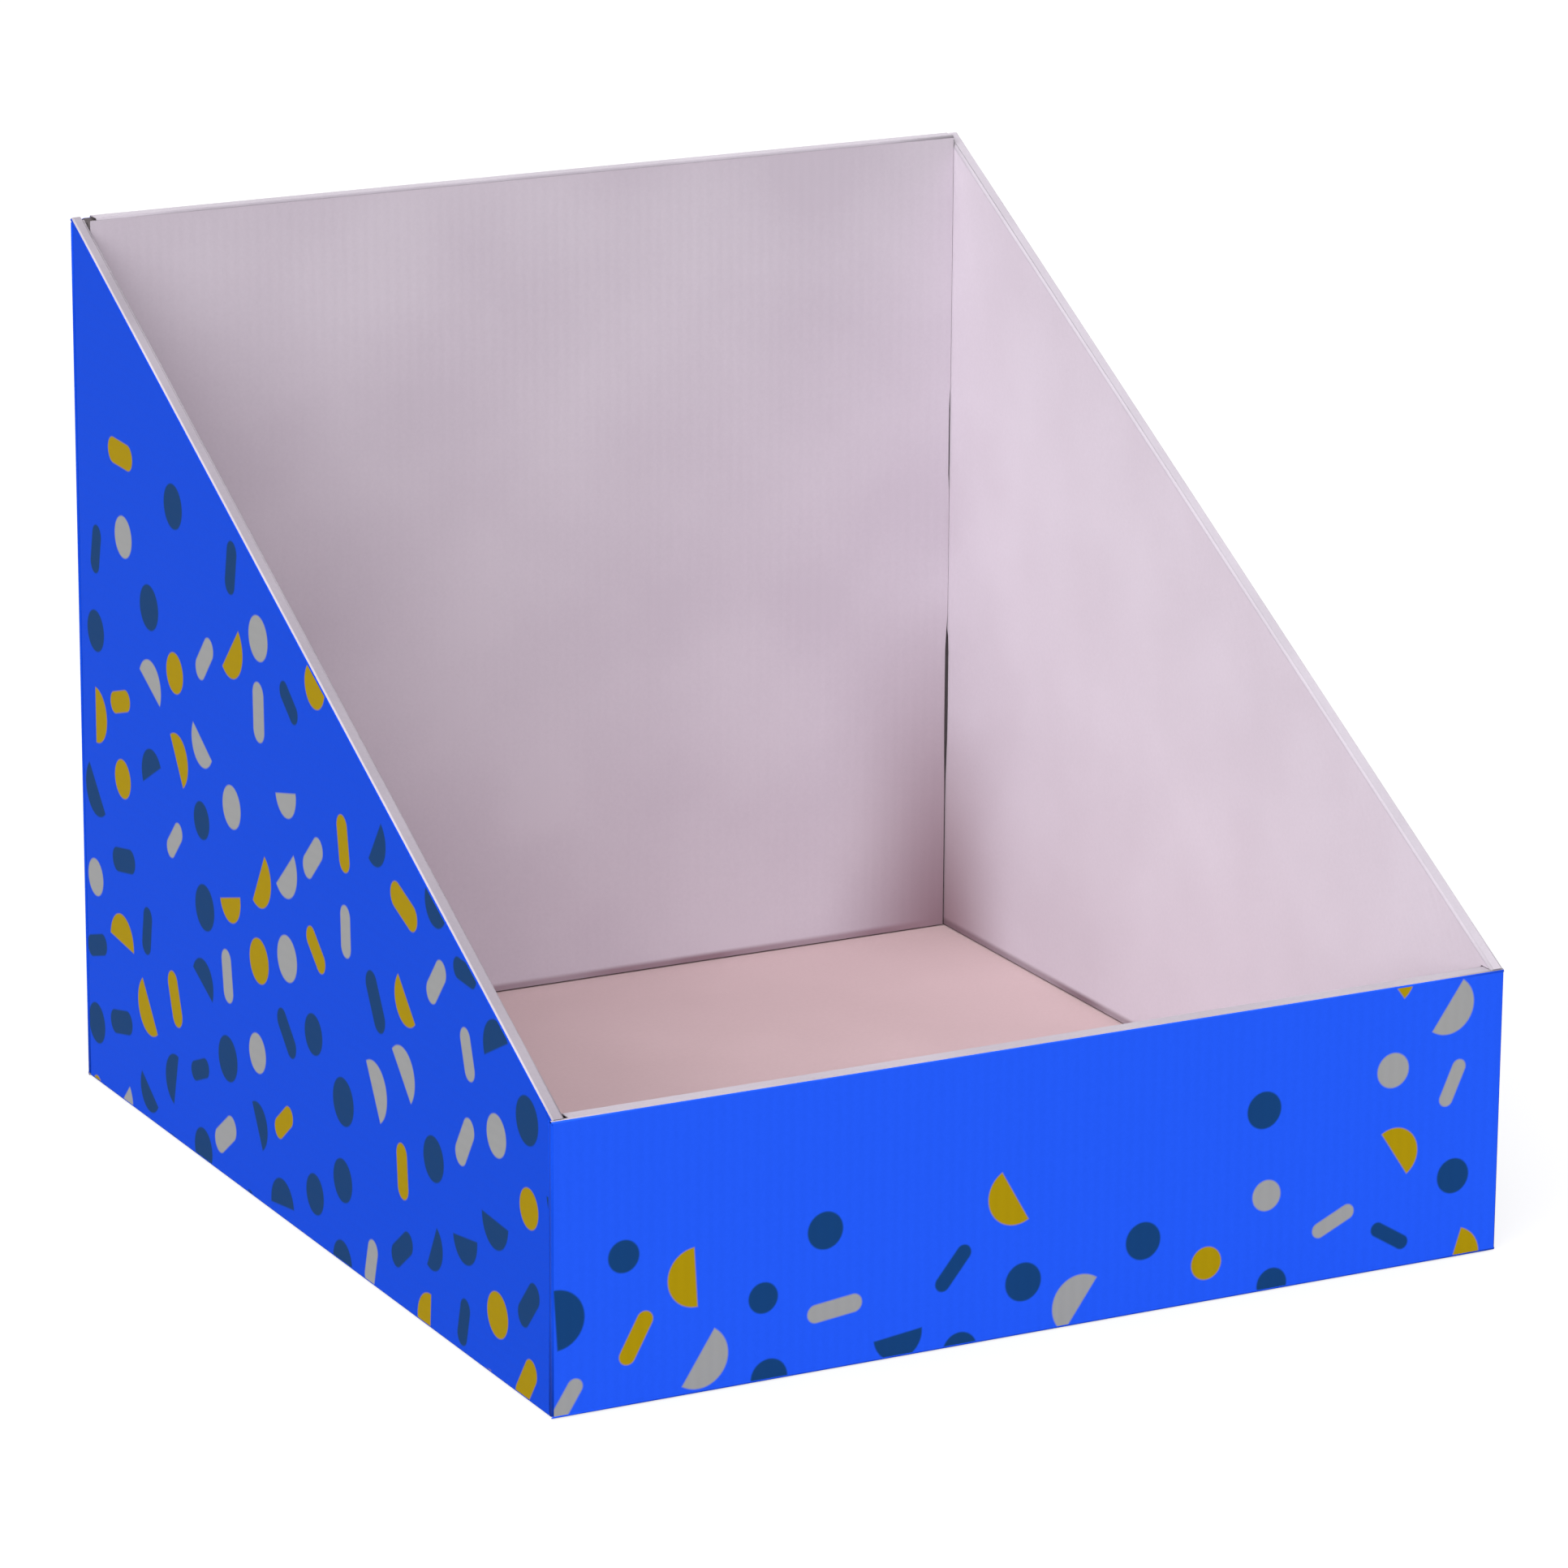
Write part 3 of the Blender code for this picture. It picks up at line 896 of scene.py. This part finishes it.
def rolled_side(side, way):
    """The boards of the left side (way -1) or the right side (way 1)."""
    face, lining = way * HALF_WIDTH, way * (HALF_WIDTH - SIDE_ROLL)
    outer = panel(f"{side}_outer_board", f"{side}_outer_wall",
                  Place((face, 0, 0), Y, Z, -way * X),
                  [DOWN, LEFT, RIGHT, OVER_RIM], papers(shaded_sides_print), ALONG, bow=OUTER_BOW,
                  stops=[(LEFT, EDGE_ROUND - LAP), (RIGHT, EDGE_ROUND - LAP)], print_from=PRINT_FROM[side])
    spine = panel(f"{side}_spine_board", f"{side}_spine",
                  Place((face, 0, SIDE_MIDDLE), UP_SLOPE, -way * X, -OFF_SLOPE),
                  [DOWN, UP], papers(SIDE_RIMS[side]), -SLOPE,
                  stops=[(LEFT, -RIM_LATE), (RIGHT, -RIM_LATE_BACK)])
    inner = panel(f"{side}_inner_board", f"{side}_inner_wall",
                  Place((lining, 0, 0), Y, Z, way * X),
                  [OVER_RIM], papers(painted_light_sides_liner), 2 * SLOPE, bow=LINING_BOW, grid=LINING_GRID,
                  edge_shift=side_gap, grown=[(DOWN_RIM, LINING_GROWN), (DOWN, FOOT_LONG)])
    flaps = [panel(f"{side}_{end}_flap_board", f"{side}_{end}_flap",
                   Place((0, toward * SIDE_END, 0), X, Z, -toward * Y),
                   [(way, 0)], papers(plain_shaded_sides), ALONG, stops=[((way, 0), EDGE_ROUND - LAP)])
             for end, toward in (("front", -1), ("back", 1))]
    fasten(outer, f"{side}_side")
    fasten(spine, f"{side}_rim")
    fasten(inner, f"{side}_lining")
    for flap in flaps:
        fasten(flap, f"{side}_side")
    print(side, [len(piece.data.polygons) for piece in (outer, spine, inner, *flaps)], "faces")


rolled_side("left", -1)
rolled_side("right", 1)

# %% [markdown]
# ## Noses of the side linings
# The front edge of a side lining is cut square to the rim, so that it can swing up past the lip. A small
# nose of its liner stays over the lip's rim, because otherwise one looks into the hollow wall there. It is a
# triangle between the rim, the lip and the lining's front edge.

# %% Lining noses
NOSE_OVER_LIP = 0.1 * MM


def lining_nose(side, way):
    place = Place((way * (HALF_WIDTH - SIDE_ROLL), 0, 0), Y, Z, way * X)
    outline, _ = plan_of(f"{side}_inner_wall", place, [OVER_RIM], grown=[(DOWN_RIM, LINING_GROWN)])
    front = -max(point.dot(Vector(DOWN_RIM)) for point in outline)
    under_rim = SIDE_MIDDLE * RUN - CREASE_ROUND + LAP
    low = LIP_HEIGHT + NOSE_OVER_LIP
    nose = [Vector(((low * RUN - under_rim) / RISE, low)), Vector(((front - low * RISE) / RUN, low)),
            Vector(OVER_RIM) * under_rim - Vector(DOWN_RIM) * front]
    bm = bmesh.new()
    add_slab(bm, place, nose, 0.0, LINER, FACE)
    bmesh.ops.recalc_face_normals(bm, faces=bm.faces[:])
    piece = board_piece(bm, f"{side}_lining_nose", place, Vector(RIGHT), papers(painted_light_sides_liner))
    fasten(piece, f"{side}_lining")
    print(side, "nose, mm:", [tuple(round(v / MM, 2) for v in point) for point in nose])


lining_nose("left", -1)
lining_nose("right", 1)

# %% [markdown]
# ## Crease strips
# At a crease the print-side liner isn't cut. It runs round the fold in a small arc. Each arc is a thin strip
# that joins its two panels. A strip can have a tail, a flat stretch after the arc.

# %% Crease strip
ARC_STEPS = 8
STRIP_STEP = 24 * MM


def crease_strip(name, start, end, into_first, into_second, finishes, rounding=CREASE_ROUND, tail=0.0):
    """A quarter arc of liner from start to end, between two panels that lead off the given ways."""
    start, end = Vector(start), Vector(end)
    centre = (into_first + into_second) * rounding
    turns = [math.pi / 2 * step / ARC_STEPS for step in range(ARC_STEPS + 1)]
    count = max(2, round((end - start).length / STRIP_STEP))
    bm = bmesh.new()
    rings = []
    for i in range(count + 1):
        at = start.lerp(end, i / count) + centre
        outer, inner = ([at - (into_second * math.cos(turn) + into_first * math.sin(turn)) * radius
                         for turn in turns] for radius in (rounding, rounding - LINER))
        if tail:
            for side in (outer, inner):
                side.append(side[-1] + into_second * tail)
        rings.append([bm.verts.new(point) for point in outer + inner[::-1]])
    slots = [FACE if k < ARC_STEPS / 2 else SECOND for k in range(ARC_STEPS + bool(tail))]
    ring_slots = slots + [SECOND if tail else CORE] + [CORE] * (len(slots) + 1)
    for ring, other in zip(rings, rings[1:]):
        for (a, b), (c, d), slot in zip(edges(ring), edges(other), ring_slots):
            bm.faces.new((a, b, d, c)).material_index = slot
    for ring in (rings[0], rings[-1]):
        for k, slot in enumerate(slots):
            bm.faces.new((ring[k], ring[-k - 1], ring[-k - 2], ring[k + 1])).material_index = slot
    bmesh.ops.recalc_face_normals(bm, faces=bm.faces[:])
    for face in bm.faces:
        face.smooth = True
    way = (end - start).normalized()

    # A strip has no scatter, so both of its maps give the length along it.
    def along(point):
        return (point - start).dot(way), 0.0

    return new_piece(bm, name, finishes, along, along)


def bending_strip(name, start, end, into_first, into_second, finishes):
    piece = crease_strip(name, start, end, into_first, into_second, finishes)
    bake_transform(piece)


print("a crease is rounded by", CREASE_ROUND / MM, "mm")

# %% [markdown]
# ## Creases of the front and the back
# On a rim the blue print ends half-way round the outer arc and the white begins. The upright ends of both
# walls are cut with a blunt die that crushes the board, so there the print rolls over the cut too, in a
# tighter arc with a tail, and hides the fluting.

# %% Front and back creases
EDGE_LAP = 0.2 * MM
EDGE_UNDER_RIM = 1.6 * MM


def end_creases(side, way, rim, blue, rim_ends, late, edge_top):
    face, lining = way * HALF_DEPTH, way * (HALF_DEPTH - END_ROLL)
    outwards = way * Y
    bending_strip(f"{side}_base_crease", (-HALF_WIDTH, face, 0),
                  (HALF_WIDTH, face, 0), -outwards, Z, papers(blue, blue))
    bending_strip(f"{side}_rim_crease", (-rim_ends[0], face, rim),
                  (rim_ends[1], face, rim), -Z, -outwards, papers(blue, rim_shade_liner))
    bending_strip(f"{side}_lining_crease",
                  (-SPINE_HALF - late[0], lining, rim), (SPINE_HALF + late[1], lining, rim),
                  outwards, -Z, papers(rim_shade_liner, rim_shade_liner))
    for edge, hand in (("left", -1), ("right", 1)):
        piece = crease_strip(f"{side}_{edge}_crushed_edge", (hand * HALF_WIDTH, face, CREASE_ROUND),
                             (hand * HALF_WIDTH, face, edge_top), -hand * X, -outwards,
                             papers(plain_shaded_sides, plain_shaded_sides), EDGE_ROUND, BOARD - EDGE_ROUND + EDGE_LAP)
        fasten(piece, f"{side}_wall")


end_creases("front", -1, LIP_HEIGHT, plain_front, (HALF_WIDTH, HALF_WIDTH), FRONT_LATE,
            LIP_HEIGHT - CREASE_ROUND)
end_creases("back", 1, BACK_HEIGHT, plain_shaded_sides, [SPINE_HALF + late for late in BACK_LATE], BACK_LATE,
            BACK_HEIGHT - EDGE_UNDER_RIM)

# %% [markdown]
# ## Creases of the sides
# These are the same strips along the slanted rims. The creases of the corner flaps are folded all the time,
# so their strips only ride on the side, and they are rounded more tightly.

# %% Side creases
def rim_point(x, y):
    return Vector((x, y, SIDE_MIDDLE + y * RISE / RUN))


def side_creases(side, way):
    face, lining = way * HALF_WIDTH, way * (HALF_WIDTH - SIDE_ROLL)
    outwards = way * X
    # The rims' own strips take the rim liner in painted shade.
    blue, rim_shade_papers = papers(plain_shaded_sides, plain_shaded_sides), papers(SIDE_RIMS[side], SIDE_RIMS[side])
    bending_strip(f"{side}_base_crease", (face, -SIDE_END, 0), (face, SIDE_END, 0),
                  -outwards, Z, blue)
    bending_strip(f"{side}_rim_crease",
                  rim_point(face, RIM_FRONT), rim_point(face, RIM_BACK), -OFF_SLOPE, -outwards,
                  papers(plain_shaded_sides, slope_shade_liner))
    bending_strip(f"{side}_lining_crease",
                  rim_point(lining, RIM_FRONT), rim_point(lining, LINING_BACK), outwards, -OFF_SLOPE,
                  rim_shade_papers)
    for end, toward in (("front", -1), ("back", 1)):
        foot = Vector((face, toward * SIDE_END, CREASE_ROUND))
        head = rim_point(face, toward * SIDE_END) - CREASE_ROUND * Z
        piece = crease_strip(f"{side}_{end}_flap_crease", foot, head, -toward * Y, -outwards,
                             blue, EDGE_ROUND)
        fasten(piece, f"{side}_side")


side_creases("left", -1)
side_creases("right", 1)

# %% [markdown]
# ## Floor
# The box stands on a white sweep. The camera sees the floor as nearly white, with a faint shadow left in it,
# while the box only gets a modest bounce from it.

# %% Floor
WHITE, FLOOR_BOUNCE = ink("#FFFFFF"), ink("#9A9A9A")
FLOOR_GLOW = 0.75
FLOOR_HALF, FLOOR_CUTS, FLOOR_DROP = 12.0, 8, 0.2 * MM


def seen_ray(tree):
    """1 for rays that show the background itself: from the camera, by reflection or through glass."""
    path = put(tree, "ShaderNodeLightPath").outputs
    through = put(tree, MATH, (path["Is Glossy Ray"], path["Is Transmission Ray"]), "MAXIMUM")
    return put(tree, MATH, (path["Is Camera Ray"], through), "MAXIMUM")


def white_floor():
    finish, tree, _ = new_finish("white sweep")
    seen = seen_ray(tree)
    colour = put(tree, MIX, {"Factor": seen, "A": FLOOR_BOUNCE, "B": WHITE}, data_type="RGBA")
    paint = put(tree, "ShaderNodeBsdfDiffuse", {"Color": colour})
    glow = put(tree, "ShaderNodeEmission", {"Color": WHITE, "Strength": 1.0})
    share = put(tree, MATH, (seen, FLOOR_GLOW), "MULTIPLY")
    both = put(tree, "ShaderNodeMixShader", (share, paint, glow))
    feed(tree, tree.nodes["Material Output"], {"Surface": both})
    return finish


bm = bmesh.new()
bmesh.ops.create_grid(bm, x_segments=FLOOR_CUTS, y_segments=FLOOR_CUTS, size=FLOOR_HALF)
floor_mesh = bpy.data.meshes.new("floor")
bm.to_mesh(floor_mesh)
bm.free()
floor_mesh.materials.append(white_floor())
floor = new_object("floor", floor_mesh)
floor.location.z = -FLOOR_DROP
print("floor of", 2 * FLOOR_HALF, "m")

# %% [markdown]
# ## Light
# One broad lamp stands in front, to the left and above, and an even sky fills the rest. That makes the right
# lining the brightest wall and leaves the left of the back wall in soft shade. A low fill from behind
# reaches only the back and the right, so that they read as well when the box is turned.

# %% Light
SKY, LAMP_WIDE = 0.41, math.radians(75)
LAMPS = {"broad lamp": (3.75, (-0.76, -0.53, 0.85)), "fill lamp": (2.2, (0.75, 0.75, 0.3))}
for title, (energy, way) in LAMPS.items():
    lamp = new_object(title, bpy.data.lights.new(title, "SUN"))
    lamp.data.energy, lamp.data.angle = energy, LAMP_WIDE
    lamp.rotation_euler = Vector(way).to_track_quat("Z", "Y").to_euler()

world = bpy.data.worlds.new("even sky")
world.use_nodes = True
bpy.context.scene.world = world
sky = world.node_tree
strength = put(sky, RANGE, (seen_ray(sky), 0.0, 1.0, SKY, 1.0))
feed(sky, sky.nodes["Background"], {"Strength": strength, "Color": WHITE})
bpy.context.scene.view_settings.view_transform = "Standard"
print("lamps", LAMPS, "sky", SKY)
